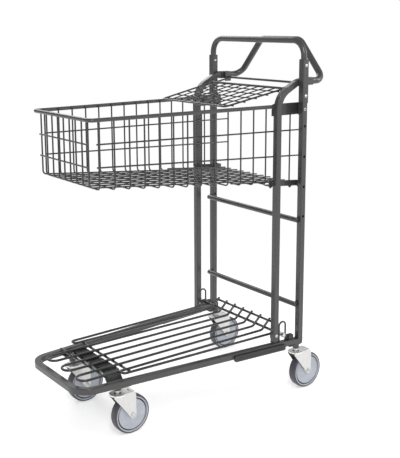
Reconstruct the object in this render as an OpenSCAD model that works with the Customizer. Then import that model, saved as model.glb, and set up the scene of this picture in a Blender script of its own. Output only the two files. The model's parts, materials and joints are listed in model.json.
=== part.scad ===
// Nesting two-level shopping trolley: wire basket above, hinged wire load deck
// below, on a tapering tube frame with four swivel castors.
// +X is the front, +Y the left side, +Z up.

/* [Frame] */
// Distance from the rear posts to the outside of the front bar
frame_front_x = 812; // [700:1:900]
// Half width of the frame rails at the rear posts, on their centre lines
rail_half_width = 232; // [220:1:240]
// How far each rail closes in for each millimetre forward
rail_taper = 0.097; // [0.08:0.001:0.11]
// Width of the rail tube
rail_w = 20; // [18:1:25]
// Height of the rail tube
rail_h = 20; // [18:1:25]
// Height of the underside of the rails above the floor
rail_z = 170; // [168:1:172]
// Centre line radius of the two front corners
frame_corner_r = 55; // [45:1:80]

/* [Posts] */
// Side of the square post tube
post_size = 20; // [18:1:22]
// Wall thickness of the tubes
tube_wall = 1.5; // [1:0.1:2]
// Outside radius of the tubes' rounded corners
tube_corner_r = 2.2; // [1.5:0.1:3]
// Half distance between the rear posts
rear_post_y = 236.5; // [230:0.5:245]
// Front posts ahead of the rear posts
front_post_x = 91; // [85:1:105]
// Height of the straight run at the top of the front posts
front_post_top_z = 1060; // [1030:1:1080]
// Centre line radius of the front posts' two bends
front_post_bend_r = 70; // [60:1:80]
// Slope of the front posts between their bends, in degrees
front_post_slope = 28; // [24:1:32]
// Rear end of the front posts' straight run, behind the rear posts
front_post_end_x = -36; // [-38:1:-30]
// Rear end of the handle sockets
socket_end_x = -52; // [-60:1:-50]
// Height of the lowest accessory hole
hole_z = 617; // [600:1:640]
// Pitch of the accessory holes
hole_pitch = 100; // [80:1:100]
// Diameter of the accessory holes
hole_d = 9; // [6:0.5:10]

/* [Handle and hoop] */
// Diameter of the hoop tube
hoop_d = 20; // [18:0.5:20]
// Height of the hoop's cross bar
hoop_z = 1191; // [1170:1:1220]
// Diameter of the handle tube
handle_d = 22; // [20:0.5:24]
// Cross bar of the handle behind the rear posts
handle_x = -112; // [-130:1:-100]
// Height of the handle's cross bar
handle_z = 1190; // [1180:1:1215]
// Half width of the handle's cross bar, corner to corner
handle_half = 100; // [80:1:120]

/* [Basket] */
// Diameter of the basket wires
wire_d = 5; // [4:0.5:6]
// Diameter of the rim rod
rim_d = 12; // [10:0.5:14]
// Height of the rim
rim_z = 983; // [960:1:1000]
// Plane of the front grid, ahead of the rear posts
basket_front_x = 744; // [700:1:790]
// Half width of the side grids, carried back to the rear posts
basket_half_y = 200.5; // [190:0.5:200.5]
// How far each side grid closes in for each millimetre forward
basket_taper = 0.05; // [0.03:0.005:0.06]
// Height of the basket floor at the rear posts
basket_floor_z = 720.5; // [700:0.5:740]
// Rise of the basket floor for each millimetre forward
floor_slope = 0.084; // [0.06:0.002:0.1]

/* [Deck] */
// Diameter of the deck wires
deck_d = 8; // [6:0.5:9]
// Height of the deck wires
deck_z = 208; // [205:1:212]
// Spacing of the long deck wires
deck_pitch = 47; // [42:1:50]

/* [Castors] */
// Diameter of the wheels
wheel_d = 125; // [100:1:125]
// Width of the tyres
wheel_w = 30; // [26:1:32]
// Trail of each wheel behind its swivel axis
castor_trail = 44; // [38:1:48]
// Front swivel axes ahead of the rear posts
castor_front_x = 665; // [650:1:680]
// Half distance between the front swivel axes
castor_front_y = 141; // [136:1:146]
// Half distance between the rear swivel axes
castor_rear_y = 224; // [218:1:228]

/* [Hidden] */

frame_colour = "#505052";
wire_colour = "#3c3c3c";
zinc_colour = "#d9d9d4";
hub_colour = "#aab0ba";
tyre_colour = "#4b4950";
// How far straight runs reach into a bend, and how much a bend draws the tube down
bite = 0.2;
draw = 0.04;

// The origin stands midway between the front bar and the back of the handle.
origin_x = (frame_front_x + handle_x - handle_d / 2) / 2;

// Fine enough that every round form is a true cylinder or torus
$fn = 24;

rail_top = rail_z + rail_h;
front_post_y = rear_post_y - post_size / 2 - 11.5;
rail_angle = atan(rail_taper);
function rail_y(x) = rail_half_width - rail_taper * x;
function grid_y(x) = basket_half_y - basket_taper * x;
function floor_z(x) = basket_floor_z + floor_slope * x;
rim_offset = (rim_d + wire_d) / 2;
function rim_y(x) = grid_y(x) + rim_offset;

// ---------------------------------------------------------------- helpers

function unit(v) = v / norm(v);
function mirror_y(p) = [p[0], -p[1], p[2]];
function reversed(v) = [for (i = [len(v) - 1 : -1 : 0]) v[i]];
// Length that a corner's arc takes off each of its two straight runs
function tangent(a, b, c, r) =
    r * tan(acos(max(-1, min(1, unit(b - a) * unit(c - b)))) / 2);
function tangent_at(pts, radii, i) =
    (i == 0 || i == len(pts) - 1) ? 0 : tangent(pts[i - 1], pts[i], pts[i + 1], radii[i]);

// Round rod from p to q
module rod(p, q, d) {
    v = q - p;
    translate(p)
        rotate([0, acos(v[2] / norm(v)), atan2(v[1], v[0])])
            cylinder(d = d, h = norm(v));
}

// Child profile swept round the turn from run a-b into run b-c with radius r
module elbow(a, b, c, r) {
    u = unit(b - a);
    w = unit(c - b);
    turn = acos(u * w);
    n = unit(w - u * (u * w));
    centre = b - u * tangent(a, b, c, r) + n * r;
    z = cross(-n, u);
    multmatrix([[-n[0], u[0], z[0], centre[0]],
                [-n[1], u[1], z[1], centre[1]],
                [-n[2], u[2], z[2], centre[2]],
                [0, 0, 0, 1]])
        rotate_extrude(angle = turn) translate([r, 0]) children();
}

// Bent rod along pts, with one bend radius for each point
module bent_rod(pts, radii, d) {
    last = len(pts) - 1;
    union() {
        for (i = [0 : last - 1]) {
            u = unit(pts[i + 1] - pts[i]);
            start = i == 0 ? 0 : tangent_at(pts, radii, i) - bite;
            end = i + 1 == last ? 0 : tangent_at(pts, radii, i + 1) - bite;
            rod(pts[i] + u * start, pts[i + 1] - u * end, d);
        }
        for (i = [1 : last - 1])
            if (radii[i] > 0) elbow(pts[i - 1], pts[i], pts[i + 1], radii[i]) circle(d = d - draw);
    }
}

// Bent round tube, open at both ends
module bent_tube(pts, radii, d, wall) {
    difference() {
        bent_rod(pts, radii, d);
        bent_rod(pts, radii, d - 2 * wall);
    }
}

// Cross-section of a square or rectangular tube with rounded corners, centred
module rounded(w, h) {
    r = tube_corner_r;
    square([w, h - 2 * r], center = true);
    square([w - 2 * r, h], center = true);
    for (x = [-1, 1]) for (y = [-1, 1])
        translate([x * (w / 2 - r), y * (h / 2 - r)]) circle(r = r);
}

// Straight tube profile along Z from the origin
module bar(w, h, l) {
    linear_extrude(l) rounded(w, h);
}

// Straight run of tube profile from p to q, both in a plane square to Y
module bar_between(p, q, s) {
    v = q - p;
    translate(p) rotate([0, atan2(v[0], v[2]), 0]) bar(s, s, norm(v));
}

// A child on the left and its mirror image on the right
module both_sides() {
    children();
    mirror([0, 1, 0]) children();
}

// The side that a left or right piece stands on
module on_side(side) {
    if (side > 0) children();
    else mirror([0, 1, 0]) children();
}

module placed() {
    translate([-origin_x, 0, 0]) children();
}

// Hexagon head or nut, with its axis along Z
module hexagon(af, h) {
    cylinder(d = af / cos(30), h = h, $fn = 6);
}

// ------------------------------------------------------------------ frame

corner_x = frame_front_x - rail_w / 2;
corner_tangent = frame_corner_r * tan((90 - rail_angle) / 2);
rail_rear_x = -post_size / 2;

// One rail and half of the front bar, grown by g, or shrunk for the bore
module half_frame(g) {
    w = rail_w + 2 * g;
    h = rail_h + 2 * g;
    over = g < 0 ? 1 : 0;
    run = (corner_x - rail_rear_x) / cos(rail_angle) - corner_tangent;
    half_bar = rail_y(corner_x) - corner_tangent;
    translate([0, 0, rail_z + rail_h / 2]) {
        translate([rail_rear_x, rail_y(rail_rear_x), 0]) rotate([0, 0, -rail_angle])
            translate([-over, 0, 0]) rotate([90, 0, 90]) bar(w, h, run + over + bite);
        translate([corner_x, -bite, 0]) rotate([-90, 0, 0]) bar(w, h, half_bar + 2 * bite);
        translate([corner_x - frame_corner_r, half_bar, 0])
            rotate_extrude(angle = 90 - rail_angle)
                translate([frame_corner_r, 0]) rounded(w - draw, h - draw);
    }
}

module base_frame() {
    color(frame_colour) placed() difference() {
        both_sides() half_frame(0);
        both_sides() half_frame(-tube_wall);
        // Drain holes under the front bar
        both_sides() translate([corner_x, 60, rail_z - 1]) cylinder(d = 8, h = 5);
    }
}

sheet = 3;
cross_x = 662;
cross_w = 56;
cross_top = 198;
cross_flat_y = 100;
cross_foot_y = 124;
cross_end_y = rail_y(cross_x) + rail_w / 2 - 4;

// Pressed strip that rises between the rails and carries the front castors
module front_cross_member() {
    foot_top = rail_z;
    half = [[0, cross_top], [cross_flat_y, cross_top], [cross_foot_y, foot_top], [cross_end_y, foot_top],
        [cross_end_y, foot_top - sheet], [cross_foot_y - 1.5, foot_top - sheet],
        [cross_flat_y - 1.5, cross_top - sheet], [0, cross_top - sheet]];
    color(frame_colour) placed() difference() {
        both_sides()
            translate([cross_x - cross_w / 2, 0, 0])
                rotate([90, 0, 90]) linear_extrude(cross_w) polygon(half);
        both_sides() translate([castor_front_x, castor_front_y, rail_z - 5]) cylinder(d = pin_d, h = 10);
    }
}

pad_gap = 0.3;
pad_rib = 4;
pad_w = 44;

// Ribbed rubber strips that the deck wires come to rest on
module deck_rest_pads() {
    top = deck_z - deck_d / 2 - pad_gap;
    color("#2b2b2c") placed() both_sides() {
        translate([cross_x - pad_w / 2, 8, cross_top])
            cube([pad_w, cross_flat_y - 12, top - 1.5 - cross_top]);
        for (x = [cross_x - pad_w / 2 : 2 * pad_rib : cross_x + pad_w / 2 - pad_rib])
            translate([x, 8, top - 1.6]) cube([pad_rib, cross_flat_y - 12, 1.6]);
    }
}

bumper_x = [62, 268];
bumper_t = 8;
bumper_z = [163.5, 183];
bumper_chamfer = 6;

// Plastic guard on the outside of a rail, with a lip that hooks under it
module side_bumper(side) {
    l = (bumper_x[1] - bumper_x[0]) / cos(rail_angle);
    h = bumper_z[1] - bumper_z[0];
    c = bumper_chamfer;
    color("#48484a") placed() on_side(side)
        translate([bumper_x[0], rail_y(bumper_x[0]), bumper_z[0]])
            rotate([0, 0, -rail_angle]) {
                translate([0, rail_w / 2 + bumper_t, 0]) rotate([90, 0, 0]) linear_extrude(bumper_t)
                    polygon([[c, 0], [l - c, 0], [l, c], [l, h - 3], [l - 3, h], [3, h], [0, h - 3], [0, c]]);
                translate([c, -rail_w / 2 + 3, 4]) cube([l - 2 * c, rail_w - 3, rail_z - bumper_z[0] - 4]);
            }
}

// ------------------------------------------------------------------ posts

bolt_d = 8;
hinge_bolt_z = 213;
upper_bolt_z = 972;
bracket_z = [953, 991.5];
sleeve_bolt_z = [1015, 1113];
sleeve_z = [992, 1132];
rear_post_top = 1062;

// Where the front post stops rising, and where its slope would meet the upright run
level_x = 6;
lean_z = front_post_top_z - (front_post_x - level_x) * tan(front_post_slope);

// Front post from the rail up, back along its slope and level past the rear post
module front_post_solid(s, over) {
    foot = [front_post_x, front_post_y, rail_top - over];
    lean = [front_post_x, front_post_y, lean_z];
    level = [level_x, front_post_y, front_post_top_z];
    end = [front_post_end_x - over, front_post_y, front_post_top_z];
    lower = tangent(foot, lean, level, front_post_bend_r) - bite;
    upper = tangent(lean, level, end, front_post_bend_r) - bite;
    slope = unit(level - lean);
    bar_between(foot, lean - [0, 0, lower], s);
    bar_between(lean + slope * lower, level - slope * upper, s);
    bar_between(level - [upper, 0, 0], end, s);
    elbow(foot, lean, level, front_post_bend_r) rounded(s - draw, s - draw);
    elbow(lean, level, end, front_post_bend_r) rounded(s - draw, s - draw);
}

module front_post(side) {
    color(frame_colour) placed() on_side(side) difference() {
        front_post_solid(post_size, 0);
        front_post_solid(post_size - 2 * tube_wall, 1);
        across(front_post_x, hinge_bolt_z, bolt_d);
    }
}

// Hole right through a post from side to side
module across(x, z, d) {
    translate([x, rear_post_y + 40, z]) rotate([90, 0, 0]) cylinder(d = d, h = 80);
}

module rear_post(side) {
    inner = post_size - 2 * tube_wall;
    h = rear_post_top - rail_top;
    color(frame_colour) placed() on_side(side) difference() {
        translate([0, rear_post_y, rail_top]) bar(post_size, post_size, h);
        translate([0, rear_post_y, rail_top - 1]) bar(inner, inner, h + 2);
        for (i = [0 : 3]) across(0, hole_z + i * hole_pitch, hole_d);
        across(0, upper_bolt_z, hole_d);
        across(0, sleeve_bolt_z[0], bolt_d);
    }
}

foot_x = [-16, 44];
foot_y = [200, 246];
socket_d = 22;
socket_z = 150;

// Plates under the rails' rear ends that carry the rear castors
module rear_post_feet() {
    color(frame_colour) placed() both_sides() difference() {
        translate([foot_x[0], foot_y[0], rail_z - sheet])
            cube([foot_x[1] - foot_x[0], foot_y[1] - foot_y[0], sheet]);
        translate([0, castor_rear_y, rail_z - 5]) cylinder(d = pin_d, h = 10);
    }
}

// Short tubes under the plates that take the stems of the castors
module castor_sockets() {
    for (p = [[0, castor_rear_y], [castor_front_x, castor_front_y]])
        color(frame_colour) placed() both_sides()
            translate([p[0], p[1], socket_z]) difference() {
                cylinder(d = socket_d, h = rail_z - sheet - socket_z);
                translate([0, 0, -1]) cylinder(d = pin_d, h = rail_z - sheet - socket_z + 2);
            }
}

sleeve_size = post_size + 3;

module post_sleeve(side) {
    h = sleeve_z[1] - sleeve_z[0];
    color(frame_colour) placed() on_side(side) difference() {
        translate([0, rear_post_y, sleeve_z[0]]) bar(sleeve_size, sleeve_size, h);
        translate([0, rear_post_y, sleeve_z[0] - 1]) bar(post_size, post_size, h + 2);
        for (z = sleeve_bolt_z) across(0, z, bolt_d);
    }
}

// Bolt that lies along Y: shank from the inner face out to a round head
module cross_bolt(x, z, y_in, y_out, head_d, head_h) {
    translate([x, y_out, z]) rotate([90, 0, 0]) cylinder(d = bolt_d, h = y_out - y_in);
    translate([x, y_out + head_h, z]) rotate([90, 0, 0]) cylinder(d = head_d, h = head_h);
}

module sleeve_bolts() {
    outer = rear_post_y + sleeve_size / 2;
    color(zinc_colour) placed() both_sides()
        for (z = sleeve_bolt_z) cross_bolt(0, z, outer - sleeve_size, outer, 11, 3);
}

hoop_corner_r = 50;

module top_hoop() {
    leg = [0, rear_post_y, rear_post_top + 1];
    corner = [0, rear_post_y, hoop_z];
    color(frame_colour) placed() difference() {
        bent_tube([leg, corner, mirror_y(corner), mirror_y(leg)],
            [0, hoop_corner_r, hoop_corner_r, 0], hoop_d, tube_wall);
        both_sides() across(0, sleeve_bolt_z[1], bolt_d);
    }
}

socket_size = 25;
socket_front_x = -sleeve_size / 2 - 0.5;

// Square sleeve that joins the front post's end to the handle
module handle_socket(side) {
    l = socket_front_x - socket_end_x;
    color(frame_colour) placed() on_side(side) difference() {
        translate([socket_end_x, front_post_y, front_post_top_z]) rotate([90, 0, 90])
            bar(socket_size, socket_size, l);
        translate([socket_end_x - 1, front_post_y, front_post_top_z])
            rotate([0, 90, 0]) cylinder(d = handle_d, h = front_post_end_x - socket_end_x + 1);
        translate([front_post_end_x, front_post_y, front_post_top_z]) rotate([90, 0, 90])
            bar(post_size, post_size, l);
    }
}

handle_bend_r = 38;

module handle() {
    half = [[front_post_end_x - 1, front_post_y, front_post_top_z],
        [handle_x, front_post_y, front_post_top_z],
        [handle_x, handle_half, handle_z]];
    radii = [0, handle_bend_r, handle_bend_r];
    color(frame_colour) placed()
        bent_tube(concat(half, [for (p = reversed(half)) mirror_y(p)]),
            concat(radii, reversed(radii)), handle_d, tube_wall);
}

rung_d = 17;
rung_half = 240;

// Round tube across the front faces of the rear posts
module rung(z) {
    x = post_size / 2 + rung_d / 2;
    color(frame_colour) placed() translate([x, rung_half, z]) rotate([90, 0, 0]) difference() {
        cylinder(d = rung_d, h = 2 * rung_half);
        translate([0, 0, -1]) cylinder(d = rung_d - 2 * tube_wall, h = 2 * rung_half + 2);
    }
}

// ----------------------------------------------------------------- basket

side_wires = 15;
side_wire_x = [for (i = [0 : side_wires - 1]) 22 + i * (basket_front_x - 44) / (side_wires - 1)];
front_wires = 9;
front_wire_y = [for (i = [0 : front_wires - 1]) 36 * (i - (front_wires - 1) / 2)];
weld = 1;
upturn = 16;
wire_bend_r = 12;
basket_rear_x = -8;
side_rear_x = -34;
wall_top = rim_z + 4;
// Height of the two long wires of each wall at the rear, and their rise forward
wall_wire_z = [900, 815];
wall_wire_slope = [0.0165, 0.042];
function wall_wire(i, x) = wall_wire_z[i] + wall_wire_slope[i] * x;
rim_corner_r = 14;
rim_front_x = basket_front_x + rim_offset;

module basket_rim() {
    x0 = front_post_x + post_size / 2;
    rear = [x0, rim_y(x0), rim_z];
    corner = [rim_front_x, rim_y(rim_front_x), rim_z];
    color(frame_colour) placed()
        bent_rod([rear, corner, mirror_y(corner), mirror_y(rear)],
            [0, rim_corner_r, rim_corner_r, 0], rim_d);
}

// Front grid: upright wires with two long wires across their outer faces
module basket_front() {
    x = basket_front_x;
    half = front_wire_y[front_wires - 1] + 4;
    color(wire_colour) placed() union() {
        for (y = front_wire_y) rod([x, y, floor_z(x) + longitudinal_up + upturn], [x, y, wall_top], wire_d);
        for (i = [0, 1]) {
            z = wall_wire(i, x);
            rod([x + wire_d - weld, -half, z], [x + wire_d - weld, half, z], wire_d);
        }
    }
}

// Side grid: upright wires with two long wires across their inner faces
module basket_side(side) {
    x1 = side_wire_x[side_wires - 1] + 4;
    inset = wire_d - weld;
    color(wire_colour) placed() on_side(side) union() {
        for (x = side_wire_x)
            rod([x, grid_y(x), floor_z(x) + upturn], [x, grid_y(x), wall_top], wire_d);
        for (i = [0, 1])
            rod([side_rear_x, grid_y(side_rear_x) - inset, wall_wire(i, side_rear_x)],
                [x1, grid_y(x1) - inset, wall_wire(i, x1)], wire_d);
    }
}

longitudinal_up = wire_d - weld;
short_wire_y = 176;
short_wire_x1 = 250;

// Floor: cross wires that turn up into the side grids, long wires laid over them
module basket_floor() {
    color(wire_colour) placed() union() {
        for (x = side_wire_x) {
            top = [x, grid_y(x), floor_z(x) + upturn];
            low = [x, grid_y(x), floor_z(x)];
            bent_rod([top, low, mirror_y(low), mirror_y(top)], [0, wire_bend_r, wire_bend_r, 0], wire_d);
        }
        for (y = front_wire_y) {
            x1 = basket_front_x;
            up = [x1, y, floor_z(x1) + longitudinal_up + upturn];
            low = [x1, y, floor_z(x1) + longitudinal_up];
            rear = [basket_rear_x, y, floor_z(basket_rear_x) + longitudinal_up];
            bent_rod([up, low, rear], [0, wire_bend_r, 0], wire_d);
        }
        both_sides()
            rod([basket_rear_x, short_wire_y, floor_z(basket_rear_x) + longitudinal_up],
                [short_wire_x1, short_wire_y, floor_z(short_wire_x1) + longitudinal_up], wire_d);
    }
}

plate_y = front_post_y - post_size / 2 - sheet;
rear_gap = rear_post_y - post_size / 2 - plate_y;

// Plate inside the posts that holds the rim, bent out to reach the rear post
module basket_upper_bracket(side) {
    color(frame_colour) placed() on_side(side) difference() {
        union() {
            translate([-8, plate_y, bracket_z[0]])
                cube([front_post_x + post_size / 2 + 8, sheet, bracket_z[1] - bracket_z[0]]);
            translate([-8, plate_y, bracket_z[0]])
                cube([114, sheet, rim_z - rim_d / 2 - 1 - bracket_z[0]]);
            translate([-8, plate_y, bracket_z[0]]) cube([sheet, rear_gap, bracket_z[1] - bracket_z[0]]);
            translate([-8, plate_y + rear_gap - sheet, bracket_z[0]])
                cube([17, sheet, bracket_z[1] - bracket_z[0]]);
        }
        translate([0, rear_post_y, upper_bolt_z]) rotate([90, 0, 0]) cylinder(d = hole_d, h = post_size);
    }
}

lower_h = 19;
lower_x1 = 116;
lower_bolt_x = [11, 97];
lower_bolt_in = 11;
flange_in = 24;

// Carries its children along the slope of the floor, from just below the cross wires
module below_floor() {
    translate([0, 0, floor_z(0) - wire_d / 2 - sheet - 0.2]) rotate([0, -atan(floor_slope), 0]) children();
}

// Angle under the floor wires, with two upright bolts through its flange
module basket_lower_bracket(side) {
    color(frame_colour) placed() on_side(side) below_floor() difference() {
        union() {
            translate([-8, plate_y, 0]) cube([lower_x1 + 8, sheet, lower_h]);
            translate([2, plate_y - flange_in, 0]) cube([lower_x1 - 2, flange_in + sheet, sheet]);
            translate([-8, plate_y, 0]) cube([sheet, rear_gap, lower_h]);
            translate([-8, plate_y + rear_gap - sheet, 0]) cube([17, sheet, lower_h]);
        }
        for (x = lower_bolt_x) translate([x, plate_y - lower_bolt_in, -1]) cylinder(d = 6.4, h = 6);
    }
}

// Clamp bolts of the lower brackets
module basket_bolts() {
    color(frame_colour) placed() both_sides() below_floor()
        for (x = lower_bolt_x) translate([x, plate_y - lower_bolt_in, 0]) {
            translate([0, 0, -8]) cylinder(d = 6, h = 8 + sheet);
            translate([0, 0, sheet]) cylinder(d = 13, h = 4);
            translate([0, 0, -5]) hexagon(10, 5);
        }
}

// ------------------------------------------------------------------- flap

flap_x = -35;
flap_z = 1052;
flap_tilt = 11.2;
flap_rod_d = 8;
flap_wire_d = 6;
flap_near_d = 8;
flap_near = 75;
flap_far = 312;
flap_near_half = 189;
flap_far_half = 172;
flap_bracket_y = [194, 197];
flap_ear = [26, 14];
flap_web_z = 1068;
flap_slat_d = 4;
flap_slats = 8;
flap_cross_wires = 5;

// Plates that hang inside the handle sockets, each from a web across the gap
module flap_pivot_brackets() {
    y = flap_bracket_y;
    w = flap_ear[0];
    low = flap_z - flap_ear[1];
    color(frame_colour) placed() both_sides() difference() {
        translate([flap_x - w / 2, y[0], low]) {
            cube([w, y[1] - y[0], flap_web_z + 3 - low]);
            translate([0, 0, flap_web_z - low]) cube([w, front_post_y - socket_size / 2 - y[0], 3]);
        }
        translate([flap_x, y[1] + 1, flap_z]) rotate([90, 0, 0])
            cylinder(d = flap_rod_d + 0.1, h = y[1] - y[0] + 2);
    }
}

// Push-on caps that keep the rod between its brackets
module flap_rod_caps() {
    color("#2b2b2c") placed() both_sides()
        translate([flap_x, flap_bracket_y[1] + 3.8, flap_z]) rotate([90, 0, 0]) difference() {
            cylinder(d = 13, h = 3.5);
            translate([0, 0, 0.5]) cylinder(d = flap_rod_d, h = 3.1);
        }
}

function flap_half(s) =
    flap_near_half + (flap_far_half - flap_near_half) * (s - flap_near) / (flap_far - flap_near);

// Wire flap that hangs from its rod, here raised over the rear of the basket
module flap_grid() {
    drop = (flap_wire_d + flap_slat_d) / 2 - 0.8;
    pitch = (flap_far - flap_near) / (flap_cross_wires + 0.2);
    near = [flap_near, flap_near_half, 0];
    far = [flap_far, flap_far_half, 0];
    color(wire_colour) placed() translate([flap_x, 0, flap_z]) rotate([0, flap_tilt, 0]) union() {
        rod([0, -flap_bracket_y[1] - 3, 0], [0, flap_bracket_y[1] + 3, 0], flap_rod_d);
        bent_rod([near, far, mirror_y(far), mirror_y(near)], [0, 12, 12, 0], flap_wire_d);
        rod(mirror_y(near) - [0, 2, 0], near + [0, 2, 0], flap_near_d);
        both_sides() rod([0, flap_near_half - 12, 0], [flap_near + 2, flap_near_half - 12, 0], flap_wire_d);
        for (i = [0 : flap_slats - 1]) {
            t = 2 * i / (flap_slats - 1) - 1;
            rod([flap_near, t * (flap_near_half - 42), -0.6],
                [flap_far, t * (flap_far_half - 38), -0.6], flap_slat_d);
        }
        for (i = [0 : flap_cross_wires - 1]) {
            s = flap_near + (i + 0.6) * pitch;
            rod([s, -flap_half(s) - 4, -drop], [s, flap_half(s) + 4, -drop], flap_slat_d);
        }
    }
}

// ------------------------------------------------------------------- deck

deck_rod_x = 66;
deck_rod_z = deck_z + 5;
deck_rod_d = 9;
deck_rod_half = 231;
hook_angle = 43;
hook_l = 51;
hook_x = 83.5;
deck_front_x = 791;
short_loop_x = 655;
deck_cross_x = [622, 704];
function edge_wire_y(x) = 188 - 0.035 * x;
hook_tip = [hook_x - hook_l * cos(hook_angle), 0, deck_z + hook_l * sin(hook_angle)];
upper_rod_off = (deck_d + 8) / 2 - 0.2;
upper_rod = [hook_x - 44 * cos(hook_angle) - upper_rod_off * sin(hook_angle), 0,
    deck_z + 44 * sin(hook_angle) - upper_rod_off * cos(hook_angle)];

// Long wire from its hook at the back to x at the front
module deck_wire(y, x) {
    bent_rod([hook_tip + [0, y, 0], [hook_x, y, deck_z], [x, y, deck_z]], [0, 14, 0], deck_d);
}

// Half turn that joins two neighbouring wires at the front
module deck_loop(y) {
    r = deck_pitch / 2;
    translate([deck_front_x - deck_d / 2 - r, y, deck_z]) rotate([0, 0, -90])
        rotate_extrude(angle = 180) translate([r, 0]) circle(d = deck_d - draw);
}

// Deck: seven long wires, three front loops, an edge wire each side, two rods
module deck_grid() {
    straight_x = deck_front_x - deck_d / 2 - deck_pitch / 2;
    outer = 3 * deck_pitch;
    color(wire_colour) placed() union() {
        for (i = [-2 : 3]) deck_wire(i * deck_pitch, straight_x + bite);
        for (i = [-1.5, 0.5, 2.5]) deck_loop(i * deck_pitch);
        // Right edge wire turns back into the outermost long wire
        bent_rod([[deck_rod_x, -edge_wire_y(deck_rod_x), deck_z],
            [short_loop_x, -edge_wire_y(short_loop_x), deck_z],
            [short_loop_x, -outer, deck_z], [hook_x, -outer, deck_z],
            [hook_tip[0], -outer, hook_tip[2]]], [0, 11, 11, 14, 0], deck_d);
        // Left edge wire turns in and meets the outermost long wire
        bent_rod([[deck_rod_x, edge_wire_y(deck_rod_x), deck_z],
            [short_loop_x, edge_wire_y(short_loop_x), deck_z],
            [short_loop_x + 2, outer, deck_z]], [0, 11, 0], deck_d);
        rod([deck_rod_x, -deck_rod_half, deck_rod_z], [deck_rod_x, deck_rod_half, deck_rod_z], deck_rod_d);
        rod(upper_rod - [0, outer + 12, 0], upper_rod + [0, outer + 12, 0], 8);
        for (x = deck_cross_x)
            rod([x, -outer - 4, deck_z - deck_d + 0.6], [x, outer + 4, deck_z - deck_d + 0.6], deck_d);
    }
}

// Plate on the inner face of each front post that carries the deck's hinge rod
module deck_hinge_brackets() {
    y0 = plate_y;
    color(frame_colour) placed() both_sides() difference() {
        union() {
            translate([deck_rod_x, y0, deck_rod_z - 11]) cube([front_post_x - deck_rod_x + 9, sheet, 22]);
            translate([deck_rod_x, y0 + sheet, deck_rod_z]) rotate([90, 0, 0]) cylinder(d = 22, h = sheet);
        }
        translate([deck_rod_x, y0 + sheet + 1, deck_rod_z]) rotate([90, 0, 0])
            cylinder(d = deck_rod_d + 0.1, h = sheet + 2);
        across(front_post_x, hinge_bolt_z, bolt_d);
    }
}

module deck_hinge_bolts() {
    color(zinc_colour) placed() both_sides()
        cross_bolt(front_post_x, hinge_bolt_z, plate_y, front_post_y + post_size / 2, 13, 4);
}

cap_end_y = 235;
cap_h = 9;

// Cap nuts on the ends of the hinge rod, each with a spacer that reaches to its plate
module deck_hinge_nuts() {
    reach = cap_end_y - plate_y - sheet - 0.3;
    color(zinc_colour) placed() both_sides()
        translate([deck_rod_x, cap_end_y, deck_rod_z]) rotate([90, 0, 0]) difference() {
            union() {
                hexagon(14, cap_h);
                cylinder(d = 12.5, h = reach);
            }
            translate([0, 0, cap_end_y - deck_rod_half]) cylinder(d = deck_rod_d, h = reach);
        }
}

loop_x = [49, 77];
loop_y = 222;
loop_top = 260;

// Upright wire loops that keep the load off the hinge
module deck_stop_loops() {
    r = (loop_x[1] - loop_x[0]) / 2;
    color(wire_colour) placed() both_sides() union() {
        for (x = loop_x) rod([x, loop_y, rail_top], [x, loop_y, loop_top - r - 3], 6);
        translate([loop_x[0] + r, loop_y, loop_top - r - 3]) rotate([90, 0, 0])
            rotate_extrude(angle = 180) translate([r, 0]) circle(d = 6);
    }
}

// Plastic blocks on the rails that stop the next trolley
module frame_buffer_blocks() {
    color("#2b2b2c") placed() both_sides()
        translate([22, 218, rail_top]) cube([20, 16, 17]);
}

// ---------------------------------------------------------------- castors

pin_d = 10;
crown_top = 140;
crown_t = 2.5;
fork_in = 18;
fork_t = 2.5;
race_d = 52;
race_t = 5.5;
swivel_gap = 0.3;
axle_z = wheel_d / 2;
tip_r = 11;
sleeve_d = 12;
hub_half = 17;
rim_r = wheel_d / 2 - 9;

// Puts a castor at the corner of the trolley where it belongs, mirrored on the right
module at_corner(front, left) {
    placed() on_side(left)
        translate([front > 0 ? castor_front_x : 0, front > 0 ? castor_front_y : castor_rear_y, 0])
            children();
}

// Stem that rises into its socket, with the spacer above the crown and the nut below
module kingpin(front, left) {
    nut_top = crown_top - race_t - swivel_gap;
    color(zinc_colour) at_corner(front, left) {
        translate([0, 0, nut_top - 6]) cylinder(d = pin_d, h = rail_z - nut_top + 6);
        translate([0, 0, crown_top + swivel_gap]) cylinder(d = 16, h = socket_z - crown_top - swivel_gap);
        translate([0, 0, nut_top - 5]) hexagon(15, 5);
    }
}

// Cheek outline in the XZ plane: round tip at the axle, straight back edge
module cheek_outline() {
    c = [-castor_trail, axle_z];
    p = [21, crown_top - 9];
    d = norm(p - c);
    a = atan2(p[1] - c[1], p[0] - c[0]) - acos(tip_r / d);
    t = c + tip_r * [cos(a), sin(a)];
    translate(c) circle(r = tip_r);
    polygon([[c[0] - tip_r, c[1]], [c[0] - tip_r, crown_top - 12], [c[0] - tip_r + 8, crown_top],
        [21, crown_top], p, t, c]);
}

module fork(front, left) {
    color(zinc_colour) at_corner(front, left) difference() {
        union() {
            for (y = [fork_in + fork_t, -fork_in])
                translate([0, y, 0]) rotate([90, 0, 0]) linear_extrude(fork_t) cheek_outline();
            translate([-castor_trail - tip_r + 8, -fork_in - 1, crown_top - crown_t])
                cube([castor_trail + tip_r + 13, 2 * fork_in + 2, crown_t]);
            translate([0, 0, crown_top - race_t]) cylinder(d = race_d, h = race_t);
        }
        cylinder(d = pin_d + 0.1, h = 200);
        translate([-castor_trail, 40, axle_z]) rotate([90, 0, 0]) cylinder(d = bolt_d, h = 80);
    }
}

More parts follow.
